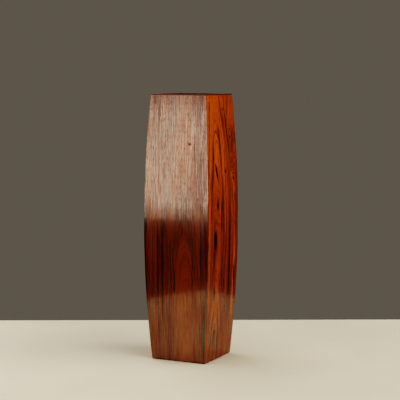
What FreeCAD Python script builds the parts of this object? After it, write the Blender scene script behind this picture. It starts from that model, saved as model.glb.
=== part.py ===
"""Tall four-sided holder for long pens, brushes and rules: a bowed, square, open-topped well.

Four panels stand round a square base board. Each panel is a bent laminate: a rosewood face veneer, a
plywood core and a thin lining veneer, pressed to one long arc, so that the holder is widest half way up.
The panels are mitred at the corners, where softwood fillets back the joints on the inside. A rosewood
lipping closes the top end of each panel. The base board sits in a rebate round the foot, four countersunk
screws hold it up against the fillets, and felt covers the underside.

Frame: +Z up, the origin at the middle of the felt's underside. Front faces -Y and right faces +X.
All sizes are in millimetres.
"""

import FreeCAD, Part
import os

Vector = FreeCAD.Vector

# Overall sizes
HEIGHT = 400.0  # from the felt's underside to the top of the rim
SIDE_FOOT = 89.0  # outer side of the square at the foot
SIDE_MOUTH = 91.0  # outer side of the square at the rim
FACE_BULGE = 8.3  # how far each face bows out, half way up, past the straight line from foot to rim

# Panel laminate, from outside to inside
FACE_VENEER = 0.7
PANEL_CORE = 4.8
LINING_VENEER = 0.6

# Rim
LIPPING_HEIGHT = 1.8
LIPPING_INNER_ROUNDING = 0.4  # on the edge inside the mouth

# Sanding of the outside edges: the four arrises and the rim's outer edge
EDGE_ROUNDING = 0.5

# Foot
FELT_THICKNESS = 1.0
FELT_INSET = 2.5  # from the outside of the foot to the felt's edge
FELT_CORNER_RADIUS = 3.0
BOARD_THICKNESS = 8.0
REBATE_WALL = 2.4  # core left standing outside the rebate that takes the base board
BOARD_CLEARANCE = 0.15  # glue line between the board's edge and the rebate

# Corner fillets
FILLET_LEG = 10.0  # how far a fillet reaches along each panel from the corner
FILLET_TOP_GAP = 14.0  # from a fillet's top end up to the underside of the lipping

# Base screws: slotted countersunk wood screws, one up into each fillet
SCREW_DIAMETER = 2.5
SCREW_LENGTH = 16.0
SCREW_HEAD_DIAMETER = 5.0
SCREW_TIP_LENGTH = 2.5
SCREW_SLOT_WIDTH = 0.8
SCREW_SLOT_DEPTH = 0.6
SCREW_HOLE_CLEARANCE = 0.15  # round the shank, in the base board

# Places that follow from the sizes
WALL = FACE_VENEER + PANEL_CORE + LINING_VENEER
FOOT_Z = FELT_THICKNESS  # lower ends of the panels, and the board's underside
LEDGE_Z = FOOT_Z + BOARD_THICKNESS  # the rebate's ledge, and the board's top
LIPPING_Z = HEIGHT - LIPPING_HEIGHT  # upper ends of the panels
REBATE_DEPTH = FACE_VENEER + REBATE_WALL  # from the outer face to the rebate's wall
FILLET_TOP_Z = LIPPING_Z - FILLET_TOP_GAP
REACH = SIDE_FOOT + SIDE_MOUTH + FACE_BULGE  # longer than the holder is wide, for the cutting solids
SCREW_HEAD_HEIGHT = (SCREW_HEAD_DIAMETER - SCREW_DIAMETER) / 2  # a 90 degree countersink

SIDES = {"front": 0, "right": 90, "back": 180, "left": 270}  # turned about +Z from the front
CORNERS = {"front_right": 0, "back_right": 90, "back_left": 180, "front_left": 270}

AXIS_FOOT = Vector(0, 0, 0)
UP = Vector(0, 0, 1)
TINY = 0.01  # under this, an edge counts as level or straight


def face_circle():
    """Centre (distance from the middle plane, height) and radius of the arc that a panel's outer face
    follows: the circle through the foot, the bowed-out middle and the rim."""
    foot = Vector(SIDE_FOOT / 2, FOOT_Z, 0)
    rim = Vector(SIDE_MOUTH / 2, HEIGHT, 0)
    middle = (foot + rim) / 2 + Vector(FACE_BULGE, 0, 0)
    circle = Part.Arc(foot, middle, rim).toShape().Curve
    return circle.Center.x, circle.Center.y, circle.Radius


CENTRE_OUT, CENTRE_Z, FACE_RADIUS = face_circle()


def half_side(depth, z):
    """Distance from the middle plane, at height z, to the surface that lies depth inside the outer face."""
    radius = FACE_RADIUS - depth
    return CENTRE_OUT + (radius**2 - (z - CENTRE_Z) ** 2) ** 0.5


def bowed_edge(depth, z_from, z_to):
    """The arc, in the YZ plane on the front side, of the surface that lies depth inside the outer face."""
    heights = (z_from, (z_from + z_to) / 2, z_to)
    return Part.Arc(*[Vector(0, -half_side(depth, z), z) for z in heights]).toShape()


def level_edge(depth_from, depth_to, z):
    """The level line through a front panel's section at height z."""
    ends = [Vector(0, -half_side(depth, z), z) for depth in (depth_from, depth_to)]
    return Part.LineSegment(*ends).toShape()


def stretch(edges):
    """The closed section that the edges make, drawn out along X to both sides."""
    section = Part.Face(Part.Wire(Part.__sortEdges__(edges)))
    section.translate(Vector(-REACH / 2, 0, 0))
    return section.extrude(Vector(REACH, 0, 0))


def turned(shape, degrees):
    """A copy of the shape turned about +Z."""
    copy = shape.copy()
    copy.rotate(AXIS_FOOT, UP, degrees)
    return copy


def front_quarter():
    """The wedge between the two vertical mitre planes that meet on the axis, on the front side."""
    corners = [AXIS_FOOT, Vector(REACH, -REACH, 0), Vector(-REACH, -REACH, 0), AXIS_FOOT]
    return Part.Face(Part.makePolygon(corners)).extrude(UP * HEIGHT)


def mitred(strip):
    """A strip along the front side, cut to the mitre planes at both corners."""
    return strip.common(front_quarter())


def strip(depth_from, depth_to, z_from, z_to):
    """A strip along the front side between two depths inside the outer face and between two heights."""
    return stretch(
        [
            bowed_edge(depth_from, z_from, z_to),
            level_edge(depth_from, depth_to, z_to),
            bowed_edge(depth_to, z_from, z_to),
            level_edge(depth_from, depth_to, z_from),
        ]
    )


def panel_core():
    """The front core, with the rebate for the base board cut into its inner face at the foot."""
    inner = FACE_VENEER + PANEL_CORE
    section = [
        bowed_edge(FACE_VENEER, FOOT_Z, LIPPING_Z),
        level_edge(FACE_VENEER, inner, LIPPING_Z),
        bowed_edge(inner, LEDGE_Z, LIPPING_Z),
        level_edge(inner, REBATE_DEPTH, LEDGE_Z),
        bowed_edge(REBATE_DEPTH, FOOT_Z, LEDGE_Z),
        level_edge(FACE_VENEER, REBATE_DEPTH, FOOT_Z),
    ]
    return mitred(stretch(section))


def bowed_block(depth, z_from, z_to):
    """The solid inside all four surfaces that lie depth inside the outer faces, between two heights."""
    near = bowed_edge(depth, z_from, z_to)
    far = near.mirror(AXIS_FOOT, Vector(0, 1, 0))
    ends = []
    for z in (z_from, z_to):
        half = half_side(depth, z)
        ends.append(Part.LineSegment(Vector(0, -half, z), Vector(0, half, z)).toShape())
    slab = stretch([near, far] + ends)
    return slab.common(turned(slab, 90))


def sanded_outside():
    """The solid inside the outer faces, with its arrises and the rim's outer edge rounded over."""
    block = bowed_block(0, FOOT_Z, HEIGHT)
    edges = [edge for edge in block.Edges if edge.BoundBox.ZMax > HEIGHT - EDGE_ROUNDING]
    return block.makeFillet(EDGE_ROUNDING, edges)


def face_veneer():
    return mitred(strip(0, FACE_VENEER, FOOT_Z, LIPPING_Z)).common(sanded_outside())


def lining_veneer():
    return mitred(strip(FACE_VENEER + PANEL_CORE, WALL, LEDGE_Z, LIPPING_Z))


def rim_lipping():
    """The front lipping, rounded over along both of its upper edges."""
    bar = strip(0, WALL, LIPPING_Z, HEIGHT)
    along_top = [e for e in bar.Edges if e.BoundBox.ZMin > HEIGHT - TINY and e.BoundBox.YLength < TINY]
    along_mouth = max(along_top, key=lambda edge: edge.BoundBox.YMin)
    rounded = bar.makeFillet(LIPPING_INNER_ROUNDING, [along_mouth])
    return mitred(rounded).common(sanded_outside())


def wood_screw():
    """A countersunk screw on +Z, point up, with the face of its head at z = 0 and a slot across it."""
    radius = SCREW_DIAMETER / 2
    shank = SCREW_LENGTH - SCREW_HEAD_HEIGHT - SCREW_TIP_LENGTH
    head = Part.makeCone(SCREW_HEAD_DIAMETER / 2, radius, SCREW_HEAD_HEIGHT)
    body = Part.makeCylinder(radius, shank, UP * SCREW_HEAD_HEIGHT)
    tip = Part.makeCone(radius, 0, SCREW_TIP_LENGTH, UP * (SCREW_HEAD_HEIGHT + shank))
    slot_corner = Vector(-SCREW_HEAD_DIAMETER, -SCREW_SLOT_WIDTH / 2, 0)
    slot = Part.makeBox(2 * SCREW_HEAD_DIAMETER, SCREW_SLOT_WIDTH, SCREW_SLOT_DEPTH, slot_corner)
    return head.fuse([body, tip]).removeSplitter().cut(slot)


def screw_place():
    """The foot of the front right screw's axis: up through the middle of the fillet's triangular end."""
    across = half_side(WALL, LEDGE_Z) - FILLET_LEG * (1 - 0.5**0.5)
    return Vector(across, -across, FOOT_Z)


def corner_fillet():
    """The front right fillet: the well's corner outside a bowed face that crosses it on the diagonal, with a
    pilot hole the shape of the screw in its lower end."""
    well = bowed_block(WALL, LEDGE_Z, FILLET_TOP_Z)
    heights = (LEDGE_Z, (LEDGE_Z + FILLET_TOP_Z) / 2, FILLET_TOP_Z)
    face = [Vector(0, -(2 * half_side(WALL, z) - FILLET_LEG) / 2**0.5, z) for z in heights]
    outer = [Vector(0, -REACH, LEDGE_Z), Vector(0, -REACH, FILLET_TOP_Z)]
    beyond_face = stretch(
        [
            Part.Arc(*face).toShape(),
            Part.LineSegment(face[2], outer[1]).toShape(),
            Part.LineSegment(outer[1], outer[0]).toShape(),
            Part.LineSegment(outer[0], face[0]).toShape(),
        ]
    )
    screw = wood_screw()
    screw.translate(screw_place())
    return well.common(turned(beyond_face, 45)).cut(screw)


def base_board():
    """The board, a glue line smaller than the rebate, with a countersunk hole under each fillet."""
    board = bowed_block(REBATE_DEPTH + BOARD_CLEARANCE, FOOT_Z, LEDGE_Z)
    place = screw_place()
    sink = Part.makeCone(SCREW_HEAD_DIAMETER / 2, SCREW_DIAMETER / 2, SCREW_HEAD_HEIGHT, place)
    bore = Part.makeCylinder(SCREW_DIAMETER / 2 + SCREW_HOLE_CLEARANCE, BOARD_THICKNESS, place)
    hole = sink.fuse(bore)
    for degrees in CORNERS.values():
        board = board.cut(turned(hole, degrees))
    return board


def base_screws():
    """One screw for each corner."""
    screw = wood_screw()
    screw.translate(screw_place())
    return Part.makeCompound([turned(screw, degrees) for degrees in CORNERS.values()])


def base_felt():
    """The felt under the board and the panels' ends, with rounded corners."""
    side = SIDE_FOOT - 2 * FELT_INSET
    sheet = Part.makeBox(side, side, FELT_THICKNESS, Vector(-side / 2, -side / 2, 0))
    uprights = [edge for edge in sheet.Edges if edge.BoundBox.ZLength > FELT_THICKNESS / 2]
    return sheet.makeFillet(FELT_CORNER_RADIUS, uprights)


def save(node, shape):
    """Writes the node's solids to its STEP file, and says what they are."""
    solids = shape.Solids
    whole = solids[0] if len(solids) == 1 else Part.makeCompound(solids)
    whole.exportStep(f"parts/{node}.step")
    print(f"{node}: {len(solids)} solid, {whole.Volume:.1f} mm3, valid {whole.isValid()}")


def main():
    os.makedirs("parts", exist_ok=True)
    front_pieces = {
        "face_veneer": face_veneer(),
        "panel_core": panel_core(),
        "lining_veneer": lining_veneer(),
        "rim_lipping": rim_lipping(),
    }
    for side, degrees in SIDES.items():
        for piece, shape in front_pieces.items():
            save(f"{side}_{piece}", turned(shape, degrees))
    fillet = corner_fillet()
    for corner, degrees in CORNERS.items():
        save(f"{corner}_corner_fillet", turned(fillet, degrees))
    save("base_board", base_board())
    save("base_screws", base_screws())
    save("base_felt", base_felt())


main()
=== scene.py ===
import math

import bpy
import mathutils
import numpy as np
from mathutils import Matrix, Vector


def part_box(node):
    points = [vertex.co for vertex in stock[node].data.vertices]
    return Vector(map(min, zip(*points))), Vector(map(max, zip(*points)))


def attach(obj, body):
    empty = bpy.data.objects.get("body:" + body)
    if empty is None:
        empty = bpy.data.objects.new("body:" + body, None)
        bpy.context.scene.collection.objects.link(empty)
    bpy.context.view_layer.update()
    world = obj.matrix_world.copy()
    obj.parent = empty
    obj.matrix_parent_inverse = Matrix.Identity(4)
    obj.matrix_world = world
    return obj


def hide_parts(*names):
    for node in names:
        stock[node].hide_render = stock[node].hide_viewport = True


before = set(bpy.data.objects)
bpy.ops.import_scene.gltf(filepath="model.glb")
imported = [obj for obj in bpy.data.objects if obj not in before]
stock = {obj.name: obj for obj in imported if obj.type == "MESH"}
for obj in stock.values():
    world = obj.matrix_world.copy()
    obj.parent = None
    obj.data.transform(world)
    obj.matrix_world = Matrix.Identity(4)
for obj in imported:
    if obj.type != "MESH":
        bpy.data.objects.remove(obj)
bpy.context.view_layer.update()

# ---- Plywood cores ------------------------------------------------------------------------------
# Each side starts as a core of thin birch plies, pressed to a long arc and mitred at both edges.
# Only its lower end shows, as a striped ring round the felt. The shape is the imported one.

SIDES = ("front", "right", "back", "left")  # each a quarter turn about +Z from the one before
CORE = 0.0048
PLY = 0.0008  # one ply
PLY_PALE = (0.50, 0.33, 0.18, 1)
PLY_DARK = (0.27, 0.14, 0.06, 1)


class Field:
    """A value that changes over a surface, held as a node's output. Sums, differences, products and
    quotients of fields are written as such, and each makes one Math node in the same tree."""

    def __init__(self, tree, socket):
        self.tree = tree
        self.socket = socket

    def math(self, operation, *others):
        node = self.tree.nodes.new("ShaderNodeMath")
        node.operation = operation
        for socket, value in zip(node.inputs, (self, *others)):
            plug(self.tree, socket, value)
        return Field(self.tree, node.outputs[0])

    def __add__(self, other):
        return self.math("ADD", other)

    def __sub__(self, other):
        return self.math("SUBTRACT", other)

    def __mul__(self, other):
        return self.math("MULTIPLY", other)

    def __truediv__(self, other):
        return self.math("DIVIDE", other)

    __radd__ = __add__
    __rmul__ = __mul__

    def between(self, low, high, to_low=0.0, to_high=1.0):
        """The field's run from low to high, eased in and out, as a run from to_low to to_high."""
        values = {"Value": self, "From Min": low, "From Max": high, "To Min": to_low, "To Max": to_high}
        return put(self.tree, "MapRange", values, interpolation_type="SMOOTHSTEP")


def plug(tree, socket, value):
    """Links a field to a socket, or sets the socket to a plain value."""
    if isinstance(value, Field):
        tree.links.new(value.socket, socket)
    else:
        socket.default_value = value


def put(tree, kind, values, output=0, **settings):
    """A new shader node with those settings and socket values, as the field that it puts out."""
    node = tree.nodes.new("ShaderNode" + kind)
    for name, setting in settings.items():
        setattr(node, name, setting)
    for name, value in values.items():
        plug(tree, node.inputs[name], value)
    return Field(tree, node.outputs[output])


def vector(x, y, z=0.0):
    """Three fields or numbers as one vector field."""
    tree = next(part.tree for part in (x, y, z) if isinstance(part, Field))
    return put(tree, "CombineXYZ", {"X": x, "Y": y, "Z": z})


def noise(where, detail=2.0, roughness=0.5, scale=1.0):
    """Smooth noise from 0 to 1 at a vector field."""
    values = {"Vector": where, "Scale": scale, "Detail": detail, "Roughness": roughness}
    return put(where.tree, "TexNoise", values)


def blend(factor, low, high):
    """One colour turning into another as the factor runs from 0 to 1."""
    tree = factor.tree
    node = tree.nodes.new("ShaderNodeMix")
    node.data_type = "RGBA"
    plug(tree, node.inputs[0], factor)
    plug(tree, node.inputs[6], low)
    plug(tree, node.inputs[7], high)
    return Field(tree, node.outputs[2])


def ramp(factor, *stops):
    """A colour ramp through (place, colour) stops."""
    node = factor.tree.nodes.new("ShaderNodeValToRGB")
    plug(factor.tree, node.inputs[0], factor)
    elements = node.color_ramp.elements
    elements[0].position, elements[0].color = stops[0]
    elements[1].position, elements[1].color = stops[-1]
    for place, colour in stops[1:-1]:
        elements.new(place).color = colour
    return Field(factor.tree, node.outputs[0])


def relief(height, distance):
    """The normal of a surface that stands up by distance, in metres, where the height field is 1."""
    return put(height.tree, "Bump", {"Strength": 1.0, "Distance": distance, "Height": height})


def finish(name, paint, **fixed):
    """A Principled material. paint(tree) gives its fields by socket name; fixed sets plain sockets."""
    material = bpy.data.materials.new(name)
    material.use_nodes = True
    tree = material.node_tree
    shader = tree.nodes["Principled BSDF"]
    for socket, value in fixed.items():
        shader.inputs[socket.replace("_", " ")].default_value = value
    for socket, field in paint(tree).items():
        plug(tree, shader.inputs[socket], field)
    return material


def place(tree):
    """The object coordinates' three fields, in metres."""
    spot = put(tree, "TexCoord", {}, output=3)
    split = tree.nodes.new("ShaderNodeSeparateXYZ")
    plug(tree, split.inputs[0], spot)
    return [Field(tree, output) for output in split.outputs]


def plywood(tree):
    """Plies as bands by distance from the holder's axis, with end grain flecks and a few glue lines."""
    x, y, z = place(tree)
    out = x.math("ABSOLUTE").math("MAXIMUM", y.math("ABSOLUTE"))
    ply = (out * (0.5 / PLY)).math("FRACT")
    band = ply.math("GREATER_THAN", 0.5)
    glue = ply.math("PINGPONG", 0.5).between(0.0, 0.05, 1.0, 0.0)
    fleck = noise(vector(x * 1800.0, y * 1800.0, z * 300.0), detail=3.0)
    tone = blend(band, PLY_PALE, PLY_DARK)
    tone = blend(fleck.between(0.35, 0.7) * 0.5, tone, (0.16, 0.08, 0.035, 1))
    tone = blend(glue * 0.6, tone, (0.05, 0.02, 0.01, 1))
    height = band * 0.4 + fleck
    return {"Base Color": tone, "Roughness": fleck * 0.2 + 0.6, "Normal": relief(height, 0.0002)}


plywood_finish = finish("birch plywood", plywood)
for side in SIDES:
    stock[f"{side}_panel_core"].data.materials[0] = plywood_finish

# ---- Face veneers -------------------------------------------------------------------------------
# Thin leaves of rosewood with the grain upright, glued over the cores, mitred, sanded to a small
# round at the arrises and finished with clear satin lacquer. Each leaf has its own figure.

FOOT_HALF = 0.0445  # half the outer side at the foot
RIM_HALF = 0.0455
BOW = 0.0083  # how far a face stands out at mid height from the straight line between foot and rim
VENEER = 0.0007
ARRIS_ROUND = 0.0005
SHARP_EDGE = math.radians(35)  # faces that meet at more than this are shaded with a crease

foot_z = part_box("front_panel_core")[0].z
lipping_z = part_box("front_panel_core")[1].z
rim_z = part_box("front_rim_lipping")[1].z
ledge_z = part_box("base_board")[1].z


def bowed_half(depth, z):
    """Half the side of the square, at height z, of the surface that lies depth inside the outer faces.
    The outer surface is the circle through foot, bowed middle and rim, seen from the side."""
    rise = rim_z - foot_z
    lean = RIM_HALF - FOOT_HALF
    # The centre is as far from the foot as from the middle and the rim, which gives two equations
    # in its distance out (c) and its height above the foot (k).
    a = np.array([[lean, rise], [lean / 2 + BOW, rise / 2]])
    b = np.array([lean**2 + rise**2, (lean / 2 + BOW) ** 2 + (rise / 2) ** 2]) / 2
    c, k = np.linalg.solve(a, b)
    radius = math.hypot(c, k) - depth
    return FOOT_HALF + c + np.sqrt(radius**2 - (z - foot_z - k) ** 2)


def turn_quarters(x, y, quarters):
    """Plan coordinates turned about +Z by a number of right angles."""
    for _ in range(quarters):
        x, y = -y, x
    return x, y


def closed_loft(name, points, grain=None):
    """A mesh through rows of closed rings (rows, ring, 3), with both end rings capped. grain is a
    (rows, ring, 2) map of metres across and along the grain, kept as the piece's UV map."""
    rows, ring, _ = points.shape
    mesh = bpy.data.meshes.new(name)
    corner = np.arange(rows * ring).reshape(rows, ring)
    quads = np.stack(
        [corner[:-1], np.roll(corner[:-1], -1, 1), np.roll(corner[1:], -1, 1), corner[1:]], axis=-1
    ).reshape(-1, 4)
    faces = quads.tolist() + [corner[0, ::-1].tolist(), corner[-1].tolist()]
    mesh.from_pydata(points.reshape(-1, 3).tolist(), [], faces)
    if grain is not None:
        indices = np.empty(len(mesh.loops), dtype=np.int32)
        mesh.loops.foreach_get("vertex_index", indices)
        uv = mesh.uv_layers.new(name="grain")
        uv.data.foreach_set("uv", grain.reshape(-1, 2)[indices].astype(np.float32).ravel())
    mesh.polygons.foreach_set("use_smooth", np.ones(len(mesh.polygons), dtype=bool))
    mesh.set_sharp_from_angle(angle=SHARP_EDGE)
    piece = bpy.data.objects.new(name, mesh)
    bpy.context.scene.collection.objects.link(piece)
    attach(piece, "root")
    return piece


def panel_layer(name, side, z, outer, inner, arris_round=0.0):
    """A mitred layer of one panel: at each height a ring that runs along the outer face, round half
    of each arris to the mitre, and back along the inner face."""
    along = np.linspace(-1, 1, 25)
    bend = np.radians(np.linspace(-45, 45, 11))
    left, right = bend[bend < 0], bend[bend > 0]
    if not arris_round:
        left, right = left[:0], right[:0]
    share = np.concatenate([-np.ones(left.size), along, np.ones(right.size)])
    turned = np.concatenate([left, np.zeros(along.size), right])
    z, outer, inner = (np.asarray(a)[:, None] for a in (z, outer, inner))
    flat = outer - arris_round
    x = np.hstack([share * flat + arris_round * np.sin(turned), -along * inner])
    y = np.hstack([-flat - arris_round * np.cos(turned), -inner + 0 * along])
    grain = np.stack([x, z + 0 * x], axis=-1)
    x, y = turn_quarters(x, y, SIDES.index(side))
    return closed_loft(name, np.stack([x, y, z + 0 * x], axis=-1), grain=grain)


def along_the_grain(tree):
    """The veneer's own map: fields of the metres across and up the grain."""
    split = tree.nodes.new("ShaderNodeSeparateXYZ")
    plug(tree, split.inputs[0], put(tree, "UVMap", {}, uv_map="grain"))
    return Field(tree, split.outputs[0]), Field(tree, split.outputs[1])


def swirl_group():
    """Node group: how far a knot or an eye pushes the rings aside, as a soft oval hump."""
    group = bpy.data.node_groups.new("grain swirl", "ShaderNodeTree")
    for name in ("Across", "Up", "Centre Across", "Centre Up", "Wide", "Tall", "Lean", "Push"):
        group.interface.new_socket(name, in_out="INPUT", socket_type="NodeSocketFloat")
    group.interface.new_socket("Shift", in_out="OUTPUT", socket_type="NodeSocketFloat")
    start = group.nodes.new("NodeGroupInput").outputs
    at = {socket.name: Field(group, socket) for socket in start if socket.name}
    up = at["Up"] - at["Centre Up"]
    across = (at["Across"] - at["Centre Across"] - up * at["Lean"]) / at["Wide"]
    up = up / at["Tall"]
    hump = (across * across + up * up).math("MULTIPLY", -1.0).math("EXPONENT") * at["Push"]
    plug(group, group.nodes.new("NodeGroupOutput").inputs["Shift"], hump)
    return group


def growth_rings(ring, up, spacing, seed):
    """Dark lines of uneven growth rings along a ring distance. Each darkens over half of its width and
    ends sharply, and each has its own strength, from hardly there to nearly black."""
    count = ring / spacing
    phase = count + noise(vector(count * 0.35, up * 2.5, seed), detail=2.0) * 5.0
    number = phase.math("FLOOR")
    strength = put(ring.tree, "TexWhiteNoise", {"W": number + seed}, noise_dimensions="1D")
    return (phase - number).between(0.45, 1.0) * strength


def figure_group():
    """Node group: the figure of a flat-sawn leaf. Rings are cylinders round a heart that leans through
    the leaf, so that they show as upright lines at its sides and long arches near the heart. The
    numbers that multiply across, up and ring inside a noise are its cells per metre."""
    group = bpy.data.node_groups.new("rosewood figure", "ShaderNodeTree")
    names = ("Across", "Up", "Heart", "Depth", "Rise", "Waver", "Shift", "Spacing", "Seed")
    for name in names:
        group.interface.new_socket(name, in_out="INPUT", socket_type="NodeSocketFloat")
    for name in ("Band", "Ink", "Line", "Pore", "Streak"):
        group.interface.new_socket(name, in_out="OUTPUT", socket_type="NodeSocketFloat")
    start = group.nodes.new("NodeGroupInput").outputs
    at = {socket.name: Field(group, socket) for socket in start if socket.name}
    across, up, seed = at["Across"], at["Up"], at["Seed"]
    slow = noise(vector(across * 9.0, up * 5.0, seed), detail=1.0) - 0.5
    quick = noise(vector(across * 55.0, up * 18.0, seed + 3.0), detail=2.0) - 0.5
    tiny = noise(vector(across * 300.0, up * 70.0, seed + 5.0), detail=2.0) - 0.5
    side = across - at["Heart"] + (slow * 0.016 + quick * 0.006 + tiny * 0.0022) * at["Waver"]
    deep = at["Depth"] + at["Rise"] * up + slow * 0.01
    ring = (side * side + deep * deep).math("SQRT") + at["Shift"]
    band = noise(vector(ring * 110.0, up * 3.0, seed + 11.0), detail=4.0, roughness=0.65)
    bold = growth_rings(ring, up, at["Spacing"], seed + 17.0)
    fine = growth_rings(ring, up, at["Spacing"] * 0.31, seed + 23.0)
    fade = noise(vector(across * 70.0, up * 14.0, seed + 27.0), detail=3.0).between(0.35, 0.62)
    pore = noise(vector(across * 3000.0, up * 120.0, seed + 29.0), detail=1.0)
    streak = noise(vector(across * 640.0 + slow * 3.0, up * 16.0, seed + 31.0), detail=3.0, roughness=0.75)
    end = group.nodes.new("NodeGroupOutput").inputs
    plug(group, end["Band"], band)
    plug(group, end["Ink"], bold * fade)
    plug(group, end["Line"], fine)
    plug(group, end["Pore"], pore.between(0.6, 0.7))
    plug(group, end["Streak"], streak)
    return group


SWIRL = swirl_group()
FIGURE = figure_group()
SANDED_GRAIN = 0.00007  # how far the grain stands up through the lacquer


def rosewood(ground, glow, ink, heart, depth, rise, waver, spacing, seed, lacquer, lines, **spots):
    """The paint of one leaf. ground, glow and ink are its colours, lacquer is how much of it shines,
    and lines is how dark its ring lines are. Its spots are ovals on the leaf, (across, up, wide,
    tall, lean, strength): swirls bend the rings, gum stains dark, clear wood is paler with fainter
    lines, or the reverse where its strength is below zero, and dull wood is open-pored and takes
    less lacquer."""

    def ovals(tree, across, up, kind):
        names = ("Centre Across", "Centre Up", "Wide", "Tall", "Lean", "Push")
        total = across * 0.0
        for spot in spots.get(kind, ()):
            values = dict(zip(names, spot), Across=across, Up=up)
            total = total + put(tree, "Group", values, node_tree=SWIRL)
        return total

    def paint(tree):
        across, up = along_the_grain(tree)
        values = {"Heart": heart, "Depth": depth, "Rise": rise, "Waver": waver, "Spacing": spacing}
        values.update(Across=across, Up=up, Seed=seed, Shift=ovals(tree, across, up, "swirls"))
        figure = put(tree, "Group", values, node_tree=FIGURE)
        band, bold, line, pore, streak = (Field(tree, s) for s in figure.socket.node.outputs)
        clear = ovals(tree, across, up, "clear")
        dull = ovals(tree, across, up, "dull")
        light = band + streak * 0.25 + clear
        colour = ramp(light, (0.50, ground), (0.74, glow))
        colour = blend(line * 0.7 * lines, colour, ink)
        stain = ovals(tree, across, up, "gum") * (band * 0.8 + streak * 0.9)
        colour = blend((bold * lines + stain - clear * 1.5).between(0.15, 0.8), colour, ink)
        colour = blend(pore * 0.35, colour, ink)
        cloud = noise(vector(across * 28.0, up * 16.0, seed), detail=2.0)
        open_grain = streak * 0.8 + cloud * 0.2 + pore * 0.1 + dull * 0.2
        coat = open_grain.between(0.42, 0.58, lacquer, 0.0)
        rough = streak.between(0.35, 0.65, 0.06, 0.14) + pore * 0.1 + dull * 0.3
        height = streak + line * 0.2 - pore * 0.3
        normal = relief(height, SANDED_GRAIN)
        return {"Base Color": colour, "Roughness": rough, "Coat Weight": coat, "Normal": normal}

    return paint


# In metres, heart is where the heart of the rings lies across the leaf, depth is how far behind it at
# the foot, rise is how much farther for each metre up, and spacing is between bold rings. waver is how
# uneven the rings are, and gloss is the wood's index of refraction.
LEAVES = {
    "front": dict(
        ground=(0.108, 0.013, 0.001, 1), glow=(0.26, 0.055, 0.003, 1), ink=(0.014, 0.003, 0.001, 1),
        heart=0.0135, depth=0.018, rise=0.05, waver=0.8, spacing=0.0030, seed=2.0,
        lacquer=1.0, gloss=2.0, lines=0.7,
        gum=[
            (-0.0310, 0.16, 0.0016, 0.09, 0.010, 0.8),
            (-0.0235, 0.14, 0.0012, 0.11, 0.000, 0.7),
            (-0.0096, 0.15, 0.0012, 0.07, -0.020, 0.7),
            (-0.0043, 0.14, 0.0012, 0.06, -0.035, 0.6),
            (0.0260, 0.13, 0.0012, 0.08, 0.015, 0.7),
            (0.0405, 0.17, 0.0016, 0.10, 0.000, 0.7),
            (-0.0530, 0.18, 0.0026, 0.10, 0.000, 0.9),
            (0.0440, 0.05, 0.0030, 0.070, 0.060, 0.8),
            (0.0210, 0.327, 0.0012, 0.0014, 0.0, 1.6),
        ],
        clear=[
            (0.012, 0.140, 0.014, 0.040, 0.0, 0.16),
            (0.012, 0.330, 0.012, 0.080, 0.0, 0.20),
            (0.012, 0.040, 0.012, 0.055, 0.0, 0.18),
        ],
        dull=[
            (0.0210, 0.327, 0.0020, 0.0016, 0.0, 1.4),
            (0.0290, 0.320, 0.0008, 0.018, 0.0, 0.8),
            (-0.0385, 0.392, 0.0040, 0.014, 0.0, 0.45),
            (-0.0300, 0.375, 0.0020, 0.020, 0.0, 0.4),
            (0.0360, 0.388, 0.0060, 0.020, 0.0, 0.25),
            (0.0360, 0.270, 0.0120, 0.100, 0.0, 0.28),
        ],
    ),
    "right": dict(
        ground=(0.20, 0.033, 0.003, 1), glow=(0.52, 0.15, 0.010, 1), ink=(0.022, 0.005, 0.003, 1),
        heart=-0.022, depth=0.0139, rise=0.06, waver=1.3, spacing=0.0046, seed=9.0,
        lacquer=0.35, gloss=1.65, lines=1.2,
        swirls=[
            (0.026, 0.322, 0.012, 0.042, -0.06, 0.026),
            (-0.020, 0.236, 0.006, 0.020, 0.0, 0.006),
            (0.003, 0.408, 0.007, 0.036, 0.0, 0.018),
        ],
        gum=[
            (-0.022, 0.285, 0.0026, 0.016, -0.35, 1.3),
            (-0.020, 0.2355, 0.0024, 0.008, 0.0, 1.2),
            (-0.0275, 0.185, 0.0034, 0.010, 0.0, 1.6),
            (-0.0280, 0.104, 0.0024, 0.010, 0.0, 1.2),
            (0.023, 0.15, 0.0040, 0.10, 0.0, 0.8),
            (-0.006, 0.22, 0.0014, 0.035, 0.10, 1.2),
            (0.016, 0.352, 0.0016, 0.020, -0.15, 1.2),
            (0.022, 0.322, 0.0016, 0.012, -0.12, 0.8),
            (0.034, 0.322, 0.0014, 0.018, 0.10, 0.8),
        ],
        clear=[
            (-0.048, 0.16, 0.004, 0.09, 0.0, 0.2),
            (-0.018, 0.15, 0.006, 0.05, 0.0, 0.1),
            (-0.026, 0.37, 0.022, 0.10, 0.0, 0.10),
            (-0.022, 0.325, 0.006, 0.028, 0.0, 0.30),
            (0.004, 0.300, 0.005, 0.022, 0.0, 0.30),
            (0.0, 0.04, 0.08, 0.10, 0.0, -0.1),
        ],
    ),
    "back": dict(
        ground=(0.21, 0.032, 0.003, 1), glow=(0.50, 0.13, 0.009, 1), ink=(0.018, 0.004, 0.003, 1),
        heart=-0.012, depth=0.010, rise=-0.05, waver=0.8, spacing=0.0040, seed=31.0,
        lacquer=0.8, gloss=1.8, lines=1.2,
    ),
    "left": dict(
        ground=(0.22, 0.034, 0.003, 1), glow=(0.48, 0.12, 0.008, 1), ink=(0.022, 0.005, 0.003, 1),
        heart=0.018, depth=0.014, rise=0.055, waver=1.1, spacing=0.0046, seed=47.0,
        lacquer=0.6, gloss=1.7, lines=1.2,
    ),
}

AMBER = (1.0, 0.98, 0.86, 1)  # tint of the lacquer's shine

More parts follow.
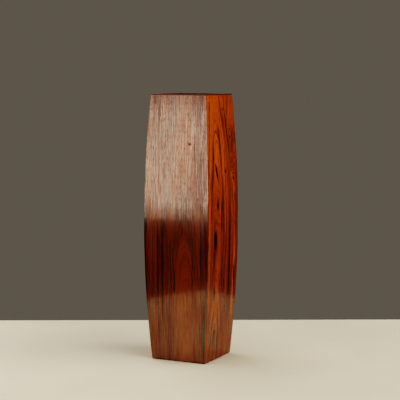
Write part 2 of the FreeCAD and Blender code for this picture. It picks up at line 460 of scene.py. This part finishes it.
height = np.linspace(foot_z, lipping_z, 81)
outer, inner = bowed_half(0, height), bowed_half(VENEER, height)
for side, leaf in LEAVES.items():
    piece = panel_layer(f"{side}_rosewood_leaf", side, height, outer, inner, ARRIS_ROUND)
    gloss = leaf.pop("gloss")
    paint = rosewood(**leaf)
    piece.data.materials.append(
        finish(
            f"{side} rosewood", paint,
            IOR=gloss, Specular_Tint=AMBER, Coat_Tint=AMBER, Coat_Roughness=0.07, Coat_IOR=1.8,
        )
    )
    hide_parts(f"{side}_face_veneer")

# ---- Lining veneers -----------------------------------------------------------------------------
# A thin plain veneer inside each panel balances the face veneer. It is stained brown and sealed
# matt, with its grain upright.

LINING = 0.0006
WALL = VENEER + CORE + LINING


def lining(tree):
    """Stained straight grain: fine upright lines on a brown ground, a little paler in patches."""
    across, up = along_the_grain(tree)
    line = noise(vector(across * 900.0, up * 9.0), detail=4.0, roughness=0.65)
    patch = noise(vector(across * 25.0, up * 9.0), detail=2.0)
    tone = ramp(line * 0.8 + patch * 0.2, (0.35, (0.13, 0.065, 0.037, 1)), (0.65, (0.40, 0.22, 0.125, 1)))
    return {"Base Color": tone, "Roughness": line * 0.25 + 0.45, "Normal": relief(line, 0.0001)}


lining_finish = finish("dark lining", lining)
height = np.linspace(ledge_z, lipping_z, 65)
outer, inner = bowed_half(VENEER + CORE, height), bowed_half(WALL, height)
for side in SIDES:
    piece = panel_layer(f"{side}_lining_leaf", side, height, outer, inner)
    piece.data.materials.append(lining_finish)
    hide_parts(f"{side}_lining_veneer")

# ---- Rim lippings -------------------------------------------------------------------------------
# Four thin strips of dark solid rosewood close the panels' top ends. They are mitred, and their
# upper edges are rounded over by sanding, more outside than inside.

INNER_ROUND = 0.0004


def eased(height, radius):
    """How far in a side has come at a height, where its edge at the rim is a quarter circle."""
    over = np.clip(height - (rim_z - radius), 0, radius)
    return radius - np.sqrt(radius**2 - over**2)


def lipping(tree):
    """Dark straight grain along the strip, with a few redder lines."""
    along, _ = along_the_grain(tree)
    x, y, z = place(tree)
    out = x.math("ABSOLUTE").math("MAXIMUM", y.math("ABSOLUTE"))
    line = noise(vector(out * 1600.0, z * 1600.0, along * 14.0), detail=4.0, roughness=0.65)
    tone = ramp(line, (0.35, (0.05, 0.018, 0.012, 1)), (0.7, (0.24, 0.07, 0.035, 1)))
    return {"Base Color": tone, "Roughness": line * 0.2 + 0.18, "Normal": relief(line, 0.00005)}


lipping_finish = finish("rosewood lipping", lipping, IOR=1.7, Coat_Weight=0.5, Coat_Roughness=0.12)
# Heights: the lower edge, then up round the outer edge's quarter circle.
bend = np.radians(np.linspace(0, 90, 7))
height = np.concatenate([[lipping_z], rim_z - ARRIS_ROUND * (1 - np.sin(bend))])
outer = bowed_half(0, height) - eased(height, ARRIS_ROUND)
inner = bowed_half(WALL, height) + eased(height, INNER_ROUND)
for side in SIDES:
    piece = panel_layer(f"{side}_lipping_strip", side, height, outer, inner, ARRIS_ROUND)
    piece.data.materials.append(lipping_finish)
    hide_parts(f"{side}_rim_lipping")

# ---- Corner fillets -----------------------------------------------------------------------------
# Three-cornered softwood strips glued up the inside corners, stained with the lining.

STAIN_DARK = (0.14, 0.072, 0.04, 1)


def stained_softwood(tree):
    """Wide soft growth lines up the strip, under an uneven dark stain."""
    x, y, z = place(tree)
    line = noise(vector(x * 420.0, y * 420.0, z * 7.0), detail=3.0, roughness=0.6)
    blot = noise(vector(x * 40.0, y * 40.0, z * 18.0), detail=2.0)
    tone = ramp(line * 0.7 + blot * 0.3, (0.35, STAIN_DARK), (0.65, (0.42, 0.24, 0.14, 1)))
    return {"Base Color": tone, "Roughness": line * 0.2 + 0.55, "Normal": relief(line, 0.00015)}


softwood_finish = finish("stained softwood", stained_softwood)
for corner in ("front_right", "back_right", "back_left", "front_left"):
    stock[f"{corner}_corner_fillet"].data.materials[0] = softwood_finish

# ---- Base board and its screws ------------------------------------------------------------------
# A square of birch plywood in the rebate, its top stained with the lining, held up by four slotted
# brass screws whose heads lie under the felt.


def stained_board(tree):
    """Plain rotary-cut grain along X under the stain, with plies where the edges show."""
    x, y, z = place(tree)
    grain = noise(vector(x * 30.0, y * 420.0, z * 200.0), detail=4.0, roughness=0.6)
    ply = ((z - foot_z) * (0.5 / PLY)).math("FRACT").math("GREATER_THAN", 0.5)
    top = z.between(ledge_z - 0.0002, ledge_z - 0.0001)
    stained = ramp(grain, (0.35, STAIN_DARK), (0.7, (0.45, 0.26, 0.15, 1)))
    raw = blend(ply, PLY_PALE, PLY_DARK)
    tone = blend(top, raw, stained)
    return {"Base Color": tone, "Roughness": grain * 0.2 + 0.5, "Normal": relief(grain, 0.0001)}


def brass(tree):
    """Turned brass: fine lathe marks, with a brown tarnish in patches."""
    x, y, z = place(tree)
    mark = noise(vector(x * 300.0, y * 300.0, z * 6000.0), detail=2.0)
    tarnish = noise(vector(x * 500.0, y * 500.0, z * 500.0), detail=3.0)
    tone = blend(tarnish.between(0.45, 0.7), (0.62, 0.42, 0.16, 1), (0.22, 0.12, 0.05, 1))
    return {"Base Color": tone, "Roughness": tarnish * 0.3 + 0.15, "Normal": relief(mark, 0.00003)}


stock["base_board"].data.materials[0] = finish("stained board", stained_board)
stock["base_screws"].data.materials[0] = finish("brass screw", brass, Metallic=1.0)

# ---- Felt ---------------------------------------------------------------------------------------
# A square of dense dark wool felt, cut with rounded corners and glued under the foot. Its cut edge
# is soft and a little ragged.

FELT_CORNER = 0.003
FELT_EDGE = 0.008  # width of the rounded edge, as a share of the half side
FELT_RAGGED = 0.003  # how far the cut wanders in from it, as such a share
felt_low, felt_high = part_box("base_felt")


def felt_pad():
    """Rings from the middle of the underside out to the rounded edge and back over the top. A ring is
    the outline of a square with round corners, scaled by share; the edge is a half ellipse in section
    with a little seeded raggedness."""
    half = felt_high.x
    thick = felt_high.z - felt_low.z
    quarter = np.radians(np.linspace(0, 90, 13))
    straight = np.linspace(-1, 1, 25)[1:-1] * (half - FELT_CORNER)
    x = np.concatenate([half - FELT_CORNER + FELT_CORNER * np.cos(quarter), -straight])
    y = np.concatenate([half - FELT_CORNER + FELT_CORNER * np.sin(quarter), half + 0 * straight])
    ring = [turn_quarters(x, y, quarters) for quarters in range(4)]
    x, y = (np.concatenate([side[axis] for side in ring]) for axis in (0, 1))
    rng = np.random.default_rng(5)
    bulge = np.radians(np.linspace(-90, 90, 9))
    flat = np.array([0.02, 0.3, 0.6, 0.85])
    share = np.concatenate([flat, 1 - FELT_EDGE + FELT_EDGE * np.cos(bulge), flat[::-1]])
    middle = (felt_low.z + felt_high.z) / 2
    low, high = np.full(flat.size, felt_low.z), np.full(flat.size, felt_high.z)
    z = np.concatenate([low, middle + thick / 2 * np.sin(bulge), high])
    ragged = np.where((z > felt_low.z) & (z < felt_high.z), FELT_RAGGED, 0.0)[:, None]
    scale = share[:, None] - ragged * rng.random((share.size, x.size))
    points = np.stack([x * scale, y * scale, z[:, None] + 0 * scale], axis=-1)
    return closed_loft("felt_pad", points)


def felt(tree):
    """Matted fibres: two scales of tangled noise, with pale hairs and a trace of dust."""
    x, y, z = place(tree)
    spot = vector(x, y, z)
    tangle = noise(spot, detail=4.0, roughness=0.7, scale=1400.0)
    lump = noise(spot, detail=2.0, scale=160.0)
    hair = noise(vector(x * 700.0 + lump * 6.0, y * 4200.0, z * 2000.0), detail=2.0).between(0.66, 0.74)
    mat = tangle * 0.6 + lump * 0.4
    tone = ramp(mat, (0.35, (0.008, 0.010, 0.009, 1)), (0.65, (0.035, 0.042, 0.036, 1)))
    tone = blend(hair * 0.5, tone, (0.12, 0.12, 0.10, 1))
    return {"Base Color": tone, "Roughness": lump * 0.1 + 0.88, "Normal": relief(tangle, 0.0004)}


pad = felt_pad()
pad.data.materials.append(finish("wool felt", felt, Sheen_Weight=0.4, Sheen_Roughness=0.5))
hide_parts("base_felt")

# ---- Table, backdrop, lights and camera ---------------------------------------------------------
# The holder stands on a plain pale table top in a dim grey room. A softbox with a fainter rim
# stands at the front left, large soft lights hang at the right and above, and one fills from
# behind. All are placed from the camera's bearing.

BEARING = math.radians(25.62)  # of the camera, from the front towards the right
CAMERA_BACK = 1.8917  # of the holder's axis
CAMERA_SIDE = 0.0121
CAMERA_HEIGHT = 0.4302
CAMERA_DIP = math.radians(5.755)
CAMERA_ROLL = -0.0024
LENS = 113.0
TABLE_BEHIND = 0.28
TABLE_SKEW = 0.0237  # how much farther back the far edge is for each metre to the right
TABLE_BEFORE = 1.2
TABLE_LEFT = 0.345
TABLE_RIGHT = 1.2
TABLE_THICKNESS = 0.03
TABLE_EDGE_ROUND = 0.002
ROOM_GREY = (0.102, 0.093, 0.082, 1)
TONE_CURVE = ((0.02, 0.002), (0.05, 0.018), (0.09, 0.085), (0.27, 0.46), (0.5, 0.74))  # (lit, shown)


def seen_from_camera(right, ahead, up):
    """A point given to the camera's right, ahead of it past the holder's axis, and up, in the frame."""
    x = right * math.cos(BEARING) - ahead * math.sin(BEARING)
    y = right * math.sin(BEARING) + ahead * math.cos(BEARING)
    return (x, y, up)


def table_top():
    """A slab with slightly rounded edges, as a closed loft of rectangles."""
    edge = TABLE_EDGE_ROUND
    bend = np.radians(np.linspace(0, 90, 5))
    z = -np.concatenate([edge * (1 - np.sin(bend[::-1])), [TABLE_THICKNESS]])[::-1]
    inset = np.concatenate([edge * (1 - np.cos(bend[::-1])), [0.0]])[::-1]
    left, right = -(TABLE_LEFT - inset), TABLE_RIGHT - inset
    near, far = -(TABLE_BEFORE - inset), TABLE_BEHIND - inset
    far_left, far_right = far + TABLE_SKEW * left, far + TABLE_SKEW * right
    across = np.stack([left, right, right, left], axis=-1)
    ahead = np.stack([near, near, far_right, far_left], axis=-1)
    x, y, _ = seen_from_camera(across, ahead, 0)
    top = closed_loft("table_top", np.stack([x, y, z[:, None] + 0 * x], axis=-1))
    return top


def table_paint(tree):
    """Off-white paint with a barely uneven surface."""
    x, y, z = place(tree)
    cloud = noise(vector(x, y, z), detail=3.0, scale=6.0)
    tone = ramp(cloud, (0.3, (0.62, 0.585, 0.50, 1)), (0.7, (0.655, 0.62, 0.535, 1)))
    return {"Base Color": tone, "Roughness": cloud * 0.1 + 0.5}


table = table_top()
table.data.materials.append(finish("off-white paint", table_paint))

world = bpy.data.worlds.new("dim room")
world.use_nodes = True
world.node_tree.nodes["Background"].inputs["Color"].default_value = ROOM_GREY
bpy.context.scene.world = world


def soft_light(name, right, ahead, up, aim_up, width, height, watts, colour):
    """A rectangular area light, placed as seen from the camera and turned to the holder's axis at a
    height of aim_up. The camera doesn't see it."""
    lamp = bpy.data.lights.new(name, "AREA")
    lamp.shape = "RECTANGLE"
    lamp.size, lamp.size_y = width, height
    lamp.energy = watts
    lamp.color = colour
    holder = bpy.data.objects.new(name, lamp)
    holder.location = seen_from_camera(right, ahead, up)
    aim = mathutils.Vector((0, 0, aim_up)) - mathutils.Vector(seen_from_camera(right, ahead, up))
    holder.rotation_euler = aim.to_track_quat("-Z", "Y").to_euler()
    holder.visible_camera = False
    bpy.context.scene.collection.objects.link(holder)


# The softbox's faint rim lights the same place from a little beyond its edges, so that its
# reflection in the front leaf fades out instead of stopping short.
soft_light("front left softbox", right=-1.98, ahead=-1.60, up=0.335, aim_up=0.335,
           width=1.1, height=0.64, watts=2.85, colour=(1.0, 0.88, 0.84))
soft_light("front left softbox edge", right=-1.98, ahead=-1.60, up=0.385, aim_up=0.385,
           width=1.2, height=0.89, watts=2.7, colour=(1.0, 0.88, 0.84))
soft_light("right overhead", right=1.6, ahead=-0.9, up=1.9, aim_up=0.2,
           width=2.6, height=2.6, watts=34.0, colour=(1.0, 0.95, 0.86))
soft_light("ceiling", right=-0.6, ahead=-0.3, up=2.2, aim_up=0.0,
           width=3.0, height=3.0, watts=19.0, colour=(1.0, 0.97, 0.92))
soft_light("rear fill", right=-1.6, ahead=1.7, up=1.3, aim_up=0.2,
           width=2.4, height=2.4, watts=16.0, colour=(1.0, 0.95, 0.88))

camera = bpy.data.cameras.new("camera")
camera.lens = LENS
camera.sensor_width = 36
camera.clip_end = 50
shot = bpy.data.objects.new("camera", camera)
shot.location = seen_from_camera(CAMERA_SIDE, -CAMERA_BACK, CAMERA_HEIGHT)
shot.rotation_euler = (math.pi / 2 - CAMERA_DIP, CAMERA_ROLL, BEARING)
bpy.context.scene.collection.objects.link(shot)
bpy.context.scene.camera = shot

# A firm tone curve, which sinks the shadows and lifts the middle, as a print has.
tones = bpy.context.scene.view_settings
tones.view_transform = "Standard"
tones.use_curve_mapping = True
for lit, shown in TONE_CURVE:
    tones.curve_mapping.curves[3].points.new(lit, shown)
tones.curve_mapping.update()
